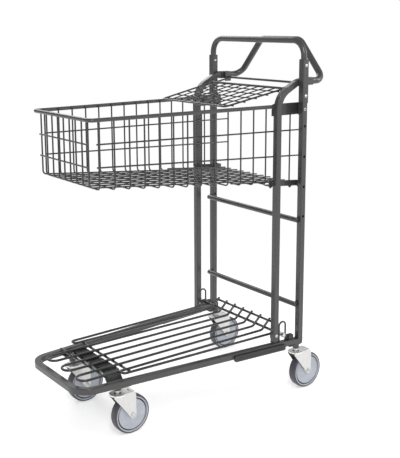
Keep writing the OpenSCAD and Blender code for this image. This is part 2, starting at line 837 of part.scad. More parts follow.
module axle(front, left) {
    outer = fork_in + fork_t;
    color(zinc_colour) at_corner(front, left)
        translate([-castor_trail, 0, axle_z]) rotate([-90, 0, 0]) {
            translate([0, 0, -fork_in]) cylinder(d = sleeve_d, h = 2 * fork_in);
            translate([0, 0, -outer - 5]) cylinder(d = bolt_d, h = 2 * outer + 5);
            translate([0, 0, outer]) cylinder(d = 14, h = 4);
            translate([0, 0, -outer - 5]) hexagon(13, 5);
        }
}

module wheel_hub(front, left) {
    half = [[sleeve_d / 2 + 0.05, hub_half], [15, hub_half], [17, 13], [rim_r - 7, 13],
        [rim_r - 7, 10], [rim_r - 3.5, 10], [rim_r - 3.5, 14], [rim_r, 14]];
    color(hub_colour) at_corner(front, left)
        translate([-castor_trail, 0, axle_z]) rotate([-90, 0, 0])
            rotate_extrude() polygon(concat(half, [for (p = reversed(half)) [p[0], -p[1]]]));
}

module tyre(front, left) {
    shoulder = 4;
    flat = wheel_w / 2 - shoulder;
    color(tyre_colour) at_corner(front, left)
        translate([-castor_trail, 0, axle_z]) rotate([-90, 0, 0])
            rotate_extrude() {
                translate([rim_r, -wheel_w / 2]) square([wheel_d / 2 - shoulder - rim_r, wheel_w]);
                translate([rim_r, -flat]) square([wheel_d / 2 - rim_r, 2 * flat]);
                for (y = [-flat, flat]) translate([wheel_d / 2 - shoulder, y]) circle(r = shoulder);
            }
}

// --------------------------------------------------------------- assembly

base_frame();
front_cross_member();
deck_rest_pads();
castor_sockets();
side_bumper(1);  // side_bumper_left
side_bumper(-1);  // side_bumper_right
front_post(1);  // front_post_left
front_post(-1);  // front_post_right
rear_post(1);  // rear_post_left
rear_post(-1);  // rear_post_right
rear_post_feet();
post_sleeve(1);  // post_sleeve_left
post_sleeve(-1);  // post_sleeve_right
sleeve_bolts();
top_hoop();
handle_socket(1);  // handle_socket_left
handle_socket(-1);  // handle_socket_right
handle();
rung(313);  // rung_lower
rung(605);  // rung_upper
basket_rim();
basket_front();
basket_side(1);  // basket_side_left
basket_side(-1);  // basket_side_right
basket_floor();
basket_upper_bracket(1);  // basket_upper_bracket_left
basket_upper_bracket(-1);  // basket_upper_bracket_right
basket_lower_bracket(1);  // basket_lower_bracket_left
basket_lower_bracket(-1);  // basket_lower_bracket_right
basket_bolts();
flap_pivot_brackets();
flap_rod_caps();
flap_grid();
deck_grid();
deck_hinge_brackets();
deck_hinge_bolts();
deck_hinge_nuts();
deck_stop_loops();
frame_buffer_blocks();
kingpin(1, 1);  // kingpin_front_left
kingpin(1, -1);  // kingpin_front_right
kingpin(-1, 1);  // kingpin_rear_left
kingpin(-1, -1);  // kingpin_rear_right
fork(1, 1);  // fork_front_left
fork(1, -1);  // fork_front_right
fork(-1, 1);  // fork_rear_left
fork(-1, -1);  // fork_rear_right
axle(1, 1);  // axle_front_left
axle(1, -1);  // axle_front_right
axle(-1, 1);  // axle_rear_left
axle(-1, -1);  // axle_rear_right
wheel_hub(1, 1);  // wheel_hub_front_left
wheel_hub(1, -1);  // wheel_hub_front_right
wheel_hub(-1, 1);  // wheel_hub_rear_left
wheel_hub(-1, -1);  // wheel_hub_rear_right
tyre(1, 1);  // tyre_front_left
tyre(1, -1);  // tyre_front_right
tyre(-1, 1);  // tyre_rear_left
tyre(-1, -1);  // tyre_rear_right
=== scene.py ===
import json
import math

import bmesh
import bpy
from mathutils import Matrix, Vector


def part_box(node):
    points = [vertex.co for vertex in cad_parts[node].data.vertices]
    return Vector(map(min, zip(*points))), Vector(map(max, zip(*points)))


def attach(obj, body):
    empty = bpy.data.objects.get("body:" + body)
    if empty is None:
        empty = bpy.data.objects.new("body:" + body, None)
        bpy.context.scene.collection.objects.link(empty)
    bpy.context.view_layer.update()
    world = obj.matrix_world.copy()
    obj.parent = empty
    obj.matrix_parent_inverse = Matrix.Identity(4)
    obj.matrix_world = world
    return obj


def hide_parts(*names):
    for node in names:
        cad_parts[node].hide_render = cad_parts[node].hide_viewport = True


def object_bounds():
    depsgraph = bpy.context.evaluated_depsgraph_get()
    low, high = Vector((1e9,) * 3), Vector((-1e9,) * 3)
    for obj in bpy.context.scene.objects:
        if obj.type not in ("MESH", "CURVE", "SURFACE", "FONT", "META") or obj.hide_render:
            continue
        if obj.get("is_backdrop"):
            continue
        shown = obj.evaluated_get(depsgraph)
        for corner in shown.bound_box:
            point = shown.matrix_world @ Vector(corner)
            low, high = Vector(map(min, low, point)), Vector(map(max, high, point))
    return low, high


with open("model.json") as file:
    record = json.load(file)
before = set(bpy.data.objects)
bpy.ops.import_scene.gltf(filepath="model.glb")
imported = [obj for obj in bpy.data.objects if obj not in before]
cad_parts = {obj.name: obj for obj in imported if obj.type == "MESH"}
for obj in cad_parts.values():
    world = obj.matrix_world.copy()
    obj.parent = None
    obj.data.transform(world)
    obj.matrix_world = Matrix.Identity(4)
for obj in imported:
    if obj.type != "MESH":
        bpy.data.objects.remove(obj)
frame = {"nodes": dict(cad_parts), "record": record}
cad_lo, cad_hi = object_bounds()
nodes = frame["nodes"]
MM = 0.001
POST = 20 * MM            # width of the square posts


# ------------------------------------------------------------------ materials

def new_material(name, colour, roughness, metallic=0.0):
    """A Principled material with its node tree, and the texture coordinate in the row frame."""
    mat = bpy.data.materials.new(name)
    mat.use_nodes = True
    tree = mat.node_tree
    bsdf = tree.nodes["Principled BSDF"]
    bsdf.inputs["Base Color"].default_value = (*colour, 1)
    bsdf.inputs["Roughness"].default_value = roughness
    bsdf.inputs["Metallic"].default_value = metallic
    mat.diffuse_color = (*colour, 1)
    where = tree.nodes.new("ShaderNodeTexCoord").outputs["Object"]
    return mat, tree, bsdf, where


def noise(tree, where, scale, detail=3.0, rough=0.5, stretch=None):
    """A noise texture with scale in waves a metre."""
    if stretch:
        mapping = tree.nodes.new("ShaderNodeMapping")
        mapping.inputs["Scale"].default_value = stretch
        tree.links.new(where, mapping.inputs["Vector"])
        where = mapping.outputs["Vector"]
    n = tree.nodes.new("ShaderNodeTexNoise")
    n.inputs["Scale"].default_value = scale
    n.inputs["Detail"].default_value = detail
    n.inputs["Roughness"].default_value = rough
    tree.links.new(where, n.inputs["Vector"])
    return n.outputs["Fac"]


def ramp(tree, fac, lo, hi, a, b):
    """Maps fac from lo-hi to a-b, clamped."""
    m = tree.nodes.new("ShaderNodeMapRange")
    m.inputs["From Min"].default_value = lo
    m.inputs["From Max"].default_value = hi
    m.inputs["To Min"].default_value = a
    m.inputs["To Max"].default_value = b
    tree.links.new(fac, m.inputs["Value"])
    return m.outputs["Result"]


def mix_colour(tree, fac, a, b):
    """Mixes two colours, each a tuple or a socket, by fac."""
    m = tree.nodes.new("ShaderNodeMix")
    m.data_type = "RGBA"
    tree.links.new(fac, m.inputs["Factor"])
    for key, value in ((6, a), (7, b)):
        if isinstance(value, tuple):
            m.inputs[key].default_value = (*value, 1)
        else:
            tree.links.new(value, m.inputs[key])
    return m.outputs[2]


def bump(tree, bsdf, heights):
    """Chains bumps from (height socket, strength, distance in metres)."""
    last = None
    for height, strength, distance in heights:
        b = tree.nodes.new("ShaderNodeBump")
        b.inputs["Strength"].default_value = strength
        b.inputs["Distance"].default_value = distance
        tree.links.new(height, b.inputs["Height"])
        if last:
            tree.links.new(last, b.inputs["Normal"])
        last = b.outputs["Normal"]
    tree.links.new(last, bsdf.inputs["Normal"])


def shade(colour, k):
    """The colour made k times as light."""
    return tuple(c * k for c in colour)


def powder_coat(name, colour, roughness, coat):
    """Gloss powder coat: faint clouds, fine specks, a few thin rubs and a light orange peel."""
    mat, tree, bsdf, where = new_material(name, colour, roughness)
    cloud = ramp(tree, noise(tree, where, 7, 3), 0.3, 0.7, 0, 1)
    body = mix_colour(tree, cloud, shade(colour, 0.95), shade(colour, 1.05))
    speck = ramp(tree, noise(tree, where, 1500, 2), 0.48, 0.70, 0, 0.25)
    body = mix_colour(tree, speck, body, shade(colour, 1.5))
    rub = ramp(tree, noise(tree, where, 60, 10, 0.75, (1, 1, 0.25)), 0.73, 0.78, 0, 0.35)
    body = mix_colour(tree, rub, body, shade(colour, 2.2))
    tree.links.new(body, bsdf.inputs["Base Color"])
    gloss = ramp(tree, noise(tree, where, 300, 4), 0.25, 0.75, roughness - 0.03, roughness + 0.04)
    tree.links.new(gloss, bsdf.inputs["Roughness"])
    bsdf.inputs["Coat Weight"].default_value = coat
    bsdf.inputs["Coat Roughness"].default_value = 0.12
    peel = noise(tree, where, 500, 2)
    grit = noise(tree, where, 2600, 2)
    bump(tree, bsdf, [(peel, 0.25, 0.00004), (grit, 0.15, 0.00002)])
    return mat


def zinc_plate(name, colour, roughness, grain):
    """Bright zinc on steel: flow of the plating, drawing lines along grain, dulled patches."""
    mat, tree, bsdf, where = new_material(name, colour, roughness, 1.0)
    patch = ramp(tree, noise(tree, where, 60, 5, 0.6), 0.3, 0.72, 0, 1)
    warm = (colour[0], colour[1] * 0.99, colour[2] * 0.975)
    body = mix_colour(tree, patch, shade(colour, 0.9), warm)
    dull = ramp(tree, noise(tree, where, 22, 7, 0.7), 0.6, 0.8, 0, 0.5)
    body = mix_colour(tree, dull, body, shade(colour, 0.7))
    tree.links.new(body, bsdf.inputs["Base Color"])
    rough = ramp(tree, noise(tree, where, 130, 4), 0.25, 0.75, roughness - 0.08, roughness + 0.12)
    tree.links.new(rough, bsdf.inputs["Roughness"])
    drawn = noise(tree, where, 420, 3, 0.5, grain)
    waves = noise(tree, where, 90, 2)
    bump(tree, bsdf, [(drawn, 0.3, 0.00012), (waves, 0.12, 0.0004)])
    return mat


def moulded(name, colour, roughness, grain_scale, grain_depth, coat=0.0):
    """Moulded plastic or rubber: fine spark-eroded grain, slight flow clouds, dust in the hollows."""
    mat, tree, bsdf, where = new_material(name, colour, roughness)
    cloud = ramp(tree, noise(tree, where, 40, 5, 0.6), 0.3, 0.7, 0, 1)
    body = mix_colour(tree, cloud, shade(colour, 0.9), shade(colour, 1.1))
    dust = ramp(tree, noise(tree, where, 170, 6, 0.65), 0.56, 0.78, 0, 0.35)
    body = mix_colour(tree, dust, body, shade(colour, 1.5))
    tree.links.new(body, bsdf.inputs["Base Color"])
    rough = ramp(tree, noise(tree, where, 240, 3), 0.25, 0.75, roughness - 0.08, roughness + 0.1)
    tree.links.new(rough, bsdf.inputs["Roughness"])
    bsdf.inputs["Coat Weight"].default_value = coat
    bump(tree, bsdf, [(noise(tree, where, grain_scale, 3), 0.4, grain_depth)])
    return mat


frame_coat = powder_coat("frame_coat", (0.034, 0.034, 0.0350), 0.34, 0.45)
wire_coat = powder_coat("wire_coat", (0.013, 0.013, 0.0135), 0.26, 0.45)
weld_coat = powder_coat("weld_coat", (0.028, 0.028, 0.029), 0.34, 0.3)
zinc = zinc_plate("zinc_plate", (0.70, 0.70, 0.695), 0.34, (1, 1, 0.12))
# A lighter copy of the zinc for the crown plate and the ball race: painted light, so that their tops look lit
crown_zinc_painted_light = zinc_plate("zinc_crown_painted_light", (0.92, 0.92, 0.915), 0.52, (1, 1, 1))
bolt_steel = zinc_plate("bolt_zinc", (0.66, 0.66, 0.65), 0.30, (1, 0.15, 1))
hub_plastic = moulded("hub_plastic", (0.36, 0.38, 0.425), 0.40, 1700, 0.00003, 0.2)
tyre_rubber = moulded("tyre_rubber", (0.050, 0.047, 0.060), 0.42, 1300, 0.00005)
black_rubber = moulded("black_rubber", (0.018, 0.018, 0.019), 0.62, 1100, 0.00012)
guard_plastic = moulded("guard_plastic", (0.026, 0.026, 0.028), 0.45, 1500, 0.0001)
by_slot = {"frame": frame_coat, "wire": wire_coat, "zinc": zinc, "fasteners": bolt_steel,
           "hub": hub_plastic, "tyre": tyre_rubber, "rubber": black_rubber, "plastic": guard_plastic}

slot_of = {row["node"]: row["material_slot"] for row in frame["record"]["subparts"]}
for node, obj in nodes.items():
    obj.data.materials.clear()
    obj.data.materials.append(by_slot[slot_of[node]])


# ------------------------------------------------------------------ mesh tools

def add_object(name, bm, material, body, smooth=True):
    """Makes a mesh object from bm, in place in the row frame, riding on body."""
    bmesh.ops.recalc_face_normals(bm, faces=bm.faces)
    mesh = bpy.data.meshes.new(name)
    bm.to_mesh(mesh)
    bm.free()
    mesh.materials.append(material)
    for p in mesh.polygons:
        p.use_smooth = smooth
    obj = bpy.data.objects.new(name, mesh)
    bpy.context.scene.collection.objects.link(obj)
    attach(obj, body)
    return obj


def apply_modifiers(obj):
    """Puts the result of obj's modifiers in its mesh."""
    graph = bpy.context.evaluated_depsgraph_get()
    mesh = bpy.data.meshes.new_from_object(obj.evaluated_get(graph))
    obj.modifiers.clear()
    obj.data = mesh


def smooth_by_angle(obj, degrees=32):
    """Smooth shading with sharp edges kept above the angle."""
    mesh = obj.data
    bm = bmesh.new()
    bm.from_mesh(mesh)
    for e in bm.edges:
        e.smooth = len(e.link_faces) == 2 and e.calc_face_angle(0) < math.radians(degrees)
    bm.to_mesh(mesh)
    bm.free()


def bevelled(obj, width, segments=3, angle=40, keep_sharp=35):
    """Applies obj's modifiers with a bevel on every edge above the angle, then shades it smooth."""
    soft = obj.modifiers.new("edges", "BEVEL")
    soft.width = width
    soft.segments = segments
    soft.limit_method = "ANGLE"
    soft.angle_limit = math.radians(angle)
    bpy.context.view_layer.update()
    apply_modifiers(obj)
    smooth_by_angle(obj, keep_sharp)


def carve(obj, cutters, material, body):
    """Adds a cut of the shape in cutters to obj. The object returned is removed once it is applied."""
    cutter = add_object("cutter", cutters, material, body)
    cut = obj.modifiers.new("cut", "BOOLEAN")
    cut.object = cutter
    cut.operation = "DIFFERENCE"
    cut.solver = "EXACT"
    return cutter


def lathe(bm, profile, centre, axis, steps=72):
    """Turns an outline of (radius, height) about an axis ("y" or "z") through centre.

    The outline is closed, or starts and ends on the axis.
    """
    def point(r, h, angle):
        u, v = r * math.cos(angle), r * math.sin(angle)
        return centre + (Vector((u, v, h)) if axis == "z" else Vector((u, h, v)))

    poles = {j: bm.verts.new(point(0, h, 0)) for j, (r, h) in enumerate(profile) if r == 0}
    rings = []
    for i in range(steps):
        angle = 2 * math.pi * i / steps
        rings.append([poles[j] if j in poles else bm.verts.new(point(r, h, angle))
                      for j, (r, h) in enumerate(profile)])
    count = len(profile)
    for i in range(steps):
        a, b = rings[i], rings[(i + 1) % steps]
        for j in range(count):
            k = (j + 1) % count
            corners = list(dict.fromkeys((a[j], a[k], b[k], b[j])))
            if len(corners) > 2:
                bm.faces.new(corners)


def rounded_profile(points, radius, steps=4):
    """A closed outline whose corners are rounded by radius, or by the radius given as a third number."""
    made = []
    count = len(points)
    for i in range(count):
        p = Vector(points[i][:2])
        r = points[i][2] if len(points[i]) > 2 else radius
        a = Vector(points[i - 1][:2]) - p
        b = Vector(points[(i + 1) % count][:2]) - p
        turn = math.pi - a.angle(b)
        if r <= 0 or turn < 0.05:
            made.append(tuple(p))
            continue
        cut = min(r * math.tan(turn / 2), 0.48 * a.length, 0.48 * b.length)
        start, end = p + a.normalized() * cut, p + b.normalized() * cut
        for k in range(steps + 1):
            t = k / steps
            q = start.lerp(p, t).lerp(p.lerp(end, t), t)
            made.append(tuple(q))
    return made


def slab(bm, outline, lo, hi, place):
    """Extrudes a closed 2-D outline from lo to hi; place turns (u, v, w) into a point."""
    low = [bm.verts.new(place(u, v, lo)) for u, v in outline]
    high = [bm.verts.new(place(u, v, hi)) for u, v in outline]
    bm.faces.new(low)
    bm.faces.new(high[::-1])
    count = len(outline)
    for i in range(count):
        j = (i + 1) % count
        bm.faces.new((low[i], high[i], high[j], low[j]))


def as_given(u, v, w):
    """The place of a slab whose outline is in x and y."""
    return Vector((u, v, w))


def mirrored(outline, s):
    """An outline in x and y with y times s, which is 1 on the left and -1 on the right."""
    return [(u, s * v) for u, v in outline]


def bead(bm, path, radius, pitch=1.7 * MM, sides=8):
    """A rippled weld bead along a path of points, closed at both ends."""
    length = 0.0
    rings = []
    for i, p in enumerate(path):
        p = Vector(p)
        if i:
            length += (p - Vector(path[i - 1])).length
        ahead = Vector(path[min(i + 1, len(path) - 1)]) - Vector(path[max(i - 1, 0)])
        z = ahead.normalized()
        x = z.orthogonal().normalized()
        y = z.cross(x)
        taper = 0.45 if i in (0, len(path) - 1) else 1.0
        r = radius * taper * (1 + 0.13 * math.sin(2 * math.pi * length / pitch))
        rings.append([bm.verts.new(p + (x * math.cos(a) + y * math.sin(a)) * r)
                      for a in [2 * math.pi * k / sides for k in range(sides)]])
    for a, b in zip(rings, rings[1:]):
        for k in range(sides):
            m = (k + 1) % sides
            bm.faces.new((a[k], a[m], b[m], b[k]))
    bm.faces.new(rings[0])
    bm.faces.new(rings[-1][::-1])


def straight(a, b, step=0.45 * MM):
    """Points along a line from a to b, close enough for a bead's ripples."""
    a, b = Vector(a), Vector(b)
    count = max(2, int((b - a).length / step))
    return [a.lerp(b, i / count) for i in range(count + 1)]


def ring_path(centre, axis, r, steps=96):
    """Points round a circle, closed, close enough for a bead's ripples."""
    x = axis.orthogonal().normalized()
    y = axis.cross(x)
    return [centre + (x * math.cos(2 * math.pi * i / steps) + y * math.sin(2 * math.pi * i / steps)) * r
            for i in range(steps + 1)]


def centre_of(node):
    """The middle of a CAD node's box at rest."""
    lo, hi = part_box(node)
    return (lo + hi) / 2


post_x = centre_of("rear_post_left").x


# ------------------------------------------------------------------ castors

CORNERS = ("front_left", "front_right", "rear_left", "rear_right")


def make_tyre(corner):
    """Solid tyre: a crowned tread with round shoulders and a step that the hub's flange laps over."""
    lo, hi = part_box("tyre_" + corner)
    c = (lo + hi) / 2
    r = (hi.z - lo.z) / 2
    w = (hi.y - lo.y) / 2
    seat = r - 9 * MM
    step = r - 5.9 * MM
    half = [(seat, w - 2.5 * MM), (step, w - 2.5 * MM), (step, w - 0.5 * MM), (step + 0.5 * MM, w),
            (r - 4.2 * MM, w - 0.1 * MM), (r - 2.9 * MM, w - 0.5 * MM), (r - 1.8 * MM, w - 1.4 * MM),
            (r - 0.9 * MM, w - 2.8 * MM), (r - 0.4 * MM, w - 4.6 * MM), (r - 0.15 * MM, w - 8 * MM),
            (r - 0.05 * MM, 0.9 * MM), (r, 0.3 * MM)]
    outline = half + [(a, -h) for a, h in reversed(half)]
    bm = bmesh.new()
    lathe(bm, outline, c, "y", 96)
    tyre = add_object("tyre_tread_" + corner, bm, tyre_rubber, "wheel_" + corner)
    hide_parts("tyre_" + corner)


def make_hub(corner):
    """Moulded hub: a flange that laps over the tyre, a deep groove, a lipped disc and a boss at the axle."""
    lo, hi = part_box("wheel_hub_" + corner)
    c = (lo + hi) / 2
    r = (hi.z - lo.z) / 2
    face = 14.9 * MM
    disc = 13.6 * MM
    groove = 7.5 * MM
    rim = r + 3.0 * MM
    half = [(6.1 * MM, 16.9 * MM, 0.3 * MM), (13.6 * MM, 16.9 * MM, 1.2 * MM),
            (15.4 * MM, 13.4 * MM, 1.6 * MM), (24 * MM, 13.2 * MM, 4 * MM), (r - 8.4 * MM, 12.2 * MM, 2 * MM),
            (r - 7.2 * MM, disc, 0.9 * MM), (r - 5.2 * MM, disc, 0.9 * MM),
            (r - 4.6 * MM, groove, 0.8 * MM), (r - 1.4 * MM, groove, 0.8 * MM),
            (r - 0.7 * MM, face - 0.3 * MM, 0.9 * MM), (rim - 0.7 * MM, face, 0.7 * MM),
            (rim, face - 0.7 * MM, 0.5 * MM), (rim, face - 2.3 * MM, 0.2 * MM),
            (r - 0.05 * MM, face - 2.3 * MM, 0.1 * MM)]
    outline = rounded_profile(half + [(a, -h, k) for a, h, k in reversed(half)], 0.5 * MM)
    bm = bmesh.new()
    lathe(bm, outline, c, "y", 96)
    hub = add_object("wheel_disc_" + corner, bm, hub_plastic, "wheel_" + corner)
    smooth_by_angle(hub, 40)
    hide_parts("wheel_hub_" + corner)

    # Dark ring at the bottom of each groove: painted shade, standing in for the shadow deep in the groove
    bm = bmesh.new()
    deep, shallow = 7.2 * MM, 10.2 * MM
    groove_shade = [(r - 4.9 * MM, deep), (r - 4.6 * MM, shallow), (r - 1.4 * MM, shallow), (r - 1.1 * MM, deep)]
    for s in (1, -1):
        lathe(bm, rounded_profile([(a, s * h) for a, h in groove_shade], 0.4 * MM, 2), c, "y", 96)
    groove_shade_ring = add_object("hub_groove_shade_" + corner, bm, black_rubber, "wheel_" + corner)


def make_fork(corner):
    """Pressed fork: two cheeks with an upright crease stepped back behind, a crown plate, the ball race."""
    pin = centre_of("kingpin_" + corner)
    axle = centre_of("axle_" + corner)
    y0 = pin.y
    ax, az = axle.x, axle.z
    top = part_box("fork_" + corner)[1].z
    cheek = 20.5 * MM
    sheet = 2.5 * MM
    crease_x = ax + 22 * MM
    valley_x = crease_x - 2.4 * MM
    front = pin.x + 21 * MM
    back = ax - 11 * MM
    tip = 11 * MM
    shoulder = Vector((front, top - 9 * MM))
    pivot = Vector((ax, az))
    reach = shoulder - pivot
    leave = math.atan2(reach.y, reach.x) - math.acos(tip / reach.length)
    touch = pivot + tip * Vector((math.cos(leave), math.sin(leave)))
    feet = [shoulder.lerp(touch, (front - x) / (front - touch.x)).y for x in (crease_x, valley_x)]
    rim = [(crease_x, top), (front, top), tuple(shoulder), (crease_x, feet[0]), (valley_x, feet[1])]
    for i in range(19):
        t = leave + (-math.pi - leave) * i / 18
        rim.append((ax + tip * math.cos(t), az + tip * math.sin(t)))
    rim += [(back, top - 12 * MM), (back + 2.5 * MM, top - 6 * MM), (back + 8 * MM, top),
            (valley_x, top)]

    def stand_out(u):
        """How far the cheek stands out: most along the crease, stepped back behind it."""
        if u > valley_x + 0.1 * MM:
            return cheek + 0.9 * MM - 3.2 * MM * (u - crease_x) / (front - crease_x)
        return cheek - 0.2 * MM - 0.5 * MM * (valley_x - u) / (valley_x - back)

    bm = bmesh.new()
    for s in (1, -1):
        outer, inner = [[bm.verts.new((u, y0 + s * (stand_out(u) - inset), v)) for u, v in rim]
                        for inset in (0, sheet)]
        for ring in (outer, inner):
            bm.faces.new(ring[:4])
            bm.faces.new([ring[0], ring[3], ring[4], ring[-1]])
            bm.faces.new(ring[4:])
        for i, low in enumerate(outer):
            j = (i + 1) % len(rim)
            bm.faces.new((low, outer[j], inner[j], inner[i]))
    fork = add_object("fork_cheeks_" + corner, bm, zinc, "castor_" + corner, False)
    bevelled(fork, 0.6 * MM, 3, 50, 12)
    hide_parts("fork_" + corner)

    # Crown plate, rounded in front of the race, with a drain slot at the back
    bm = bmesh.new()
    outline = []
    r = 25.5 * MM
    half = cheek - 1.2 * MM
    meet = math.asin(half / r)
    for i in range(17):
        t = meet - 2 * meet * i / 16
        outline.append((pin.x + r * math.cos(t), y0 + r * math.sin(t)))
    outline += [(back + 8 * MM, y0 - half), (back + 5 * MM, y0 - half + 4 * MM),
                (back + 5 * MM, y0 + half - 4 * MM), (back + 8 * MM, y0 + half)]
    slab(bm, outline, top - 2.6 * MM, top, as_given)
    # The crown plate takes the lighter zinc, which paints light on its top
    crown = add_object("fork_crown_" + corner, bm, crown_zinc_painted_light, "castor_" + corner, False)
    bm = bmesh.new()
    slot = rounded_profile([(pin.x - 41 * MM, y0 - 8 * MM), (pin.x - 36 * MM, y0 - 8 * MM),
                            (pin.x - 36 * MM, y0 + 8 * MM), (pin.x - 41 * MM, y0 + 8 * MM)], 2.4 * MM)
    slab(bm, slot, top - 5 * MM, top + 5 * MM, as_given)
    lathe(bm, [(5.2 * MM, -6 * MM), (11 * MM, -6 * MM), (11 * MM, 6 * MM), (5.2 * MM, 6 * MM)],
          Vector((pin.x, y0, top)), "z", 40)
    cutter = carve(crown, bm, zinc, "castor_" + corner)
    bevelled(crown, 0.7 * MM, 3, 40, 20)
    bpy.data.objects.remove(cutter)

    # Ball race: a pressed cup under the crown with a raised lip round the bearing
    bm = bmesh.new()
    cup = [(11.4 * MM, -1.4 * MM), (12.8 * MM, -0.1 * MM), (15.4 * MM, -0.1 * MM), (16.6 * MM, -1.3 * MM),
           (19.6 * MM, -1.3 * MM), (21.2 * MM, -0.05 * MM), (24.2 * MM, -0.05 * MM), (25.7 * MM, -1.2 * MM),
           (25.9 * MM, -4.2 * MM), (24.6 * MM, -5.4 * MM), (11.4 * MM, -5.4 * MM)]
    lathe(bm, rounded_profile(cup, 0.9 * MM, 3), Vector((pin.x, y0, top)), "z", 72)
    # The race takes the same lighter zinc, with painted light
    race = add_object("ball_race_" + corner, bm, crown_zinc_painted_light, "castor_" + corner)
    smooth_by_angle(race, 45)

    # Dark ring between the race and the stem: painted shade, standing in for the shadow in the gap round the
    # stem
    bm = bmesh.new()
    stem_gap_shade = [(8.2 * MM, -1.7 * MM), (11.7 * MM, -1.7 * MM), (11.7 * MM, -4.8 * MM), (8.2 * MM, -4.8 * MM)]
    lathe(bm, rounded_profile(stem_gap_shade, 0.5 * MM, 2), Vector((pin.x, y0, top)), "z", 48)
    ring = add_object("race_gap_shade_" + corner, bm, black_rubber, "castor_" + corner)


def make_axle(corner):
    """Axle with a sleeve in the hub, a washer on each cheek and hollow riveted ends."""
    lo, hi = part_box("axle_" + corner)
    c = Vector((lo.x + hi.x, 0, lo.z + hi.z)) / 2
    c.y = centre_of("kingpin_" + corner).y
    half = [(0, 22.4 * MM), (2.2 * MM, 21.6 * MM), (3.1 * MM, 22.6 * MM), (3.7 * MM, 24.1 * MM),
            (4.6 * MM, 24.4 * MM), (5.6 * MM, 23.6 * MM), (5.9 * MM, 22.3 * MM), (5.9 * MM, 21.5 * MM),
            (8.2 * MM, 21.4 * MM), (8.4 * MM, 21.1 * MM), (8.4 * MM, 20.6 * MM), (3.9 * MM, 20.5 * MM),
            (3.9 * MM, 18 * MM), (5.9 * MM, 17.9 * MM)]
    outline = half + [(r, -h) for r, h in reversed(half)]
    bm = bmesh.new()
    lathe(bm, outline, c, "y", 56)
    axle = add_object("axle_pin_" + corner, bm, bolt_steel, "castor_" + corner)
    smooth_by_angle(axle, 35)
    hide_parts("axle_" + corner)


for corner in CORNERS:
    make_tyre(corner)
    make_hub(corner)
    make_fork(corner)
    make_axle(corner)


# ------------------------------------------------------------------ fasteners and plugs

def side_of(y):
    """1 on the left of the trolley, -1 on its right."""
    return 1 if y > 0 else -1


def dome_bolts(node, centres, r, height, inner_y, name):
    """Button-head bolts with a socket on the outer side, and their shanks, on both sides of the trolley."""
    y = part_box(node)[1].y - height
    bm = bmesh.new()
    for x, z in centres:
        for s in (1, -1):
            head = [(0, inner_y - 0.6 * MM), (3.2 * MM, inner_y - 0.6 * MM), (4 * MM, inner_y + 0.4 * MM),
                    (4 * MM, y - 0.5 * MM), (r, y), (r, y + 0.5 * MM), (r * 0.93, y + height * 0.5),
                    (r * 0.75, y + height * 0.82), (r * 0.5, y + height * 0.97), (2.3 * MM, y + height),
                    (2.2 * MM, y + height * 0.3), (0, y + height * 0.3)]
            lathe(bm, [(a, s * h) for a, h in head], Vector((x, 0, z)), "y", 36)
    bolts = add_object(name, bm, bolt_steel, "trolley")
    smooth_by_angle(bolts, 50)
    return bolts


sleeve_lo, sleeve_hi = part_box("sleeve_bolts")
head_r = (sleeve_hi.x - sleeve_lo.x) / 2
sleeve_x = (sleeve_lo.x + sleeve_hi.x) / 2
heads = dome_bolts("sleeve_bolts", [(sleeve_x, sleeve_lo.z + head_r), (sleeve_x, sleeve_hi.z - head_r)],
                   head_r, 3 * MM, centre_of("post_sleeve_left").y - 11.5 * MM, "sleeve_bolt_heads")
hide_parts("sleeve_bolts")

hinge = centre_of("deck_hinge_bolts")
heads = dome_bolts("deck_hinge_bolts", [(hinge.x, hinge.z)], 6.5 * MM, 4 * MM,
                   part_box("deck_hinge_brackets")[1].y - 3 * MM, "hinge_bolt_heads")
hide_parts("deck_hinge_bolts")

# Hollow rivets that hold the upper brackets, in the top holes of the rear posts
bracket_lo, bracket_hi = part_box("basket_upper_bracket_left")
rivet_z = (bracket_lo.z + bracket_hi.z) / 2 - 0.3 * MM
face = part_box("rear_post_left")[1].y
bm = bmesh.new()
for s in (1, -1):
    tube = [(2.4 * MM, face - 4 * MM), (2.4 * MM, face + 0.2 * MM), (2.9 * MM, face + 0.9 * MM),
            (4.2 * MM, face + 0.9 * MM), (4.9 * MM, face + 0.3 * MM), (4.9 * MM, face),
            (4.3 * MM, face - 0.2 * MM), (4.3 * MM, face - 4 * MM)]
    lathe(bm, [(r, s * h) for r, h in tube], Vector((post_x, 0, rivet_z)), "y", 40)
rivets = add_object("bracket_rivets", bm, bolt_steel, "trolley")
smooth_by_angle(rivets, 35)

# Closed ends of the rungs and of the frame rails
bm = bmesh.new()
for rung in ("rung_lower", "rung_upper"):
    lo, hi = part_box(rung)
    c = (lo + hi) / 2
    for s in (1, -1):
        end = hi.y - 1.2 * MM
        cap = [(0, end - 6 * MM), (6.8 * MM, end - 6 * MM), (6.9 * MM, end), (6.0 * MM, end + 0.8 * MM),
               (3.5 * MM, end + 1.15 * MM), (0, end + 1.2 * MM)]
        lathe(bm, [(a, s * h) for a, h in cap], Vector((c.x, 0, c.z)), "y", 40)
plugs = add_object("rung_plugs", bm, guard_plastic, "trolley")

RAIL_TAPER = 0.097        # how fast a rail's centre line nears the middle towards the front
RAIL_REAR_Y = 0.232       # where it is beside the rear post
rail_lo, rail_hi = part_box("base_frame")
rail_mid_z = (rail_lo.z + rail_hi.z) / 2
rail_half = (rail_hi.z - rail_lo.z) / 2


def rail_y(x):
    """Centre line of the left rail at x in the row frame."""
    return RAIL_REAR_Y - RAIL_TAPER * (x - post_x)


def along_rail(side, x0):
    """Turns (along, up, out) from the rail's centre line at x0 into a point, mirrored on the right."""
    angle = math.atan(RAIL_TAPER)
    start = Vector((x0, rail_y(x0), 0))
    ahead = Vector((math.cos(angle), -math.sin(angle), 0))
    outward = Vector((math.sin(angle), math.cos(angle), 0))

    def place(u, v, w):
        p = start + ahead * u + outward * w
        return Vector((p.x, side * p.y, v))
    return place


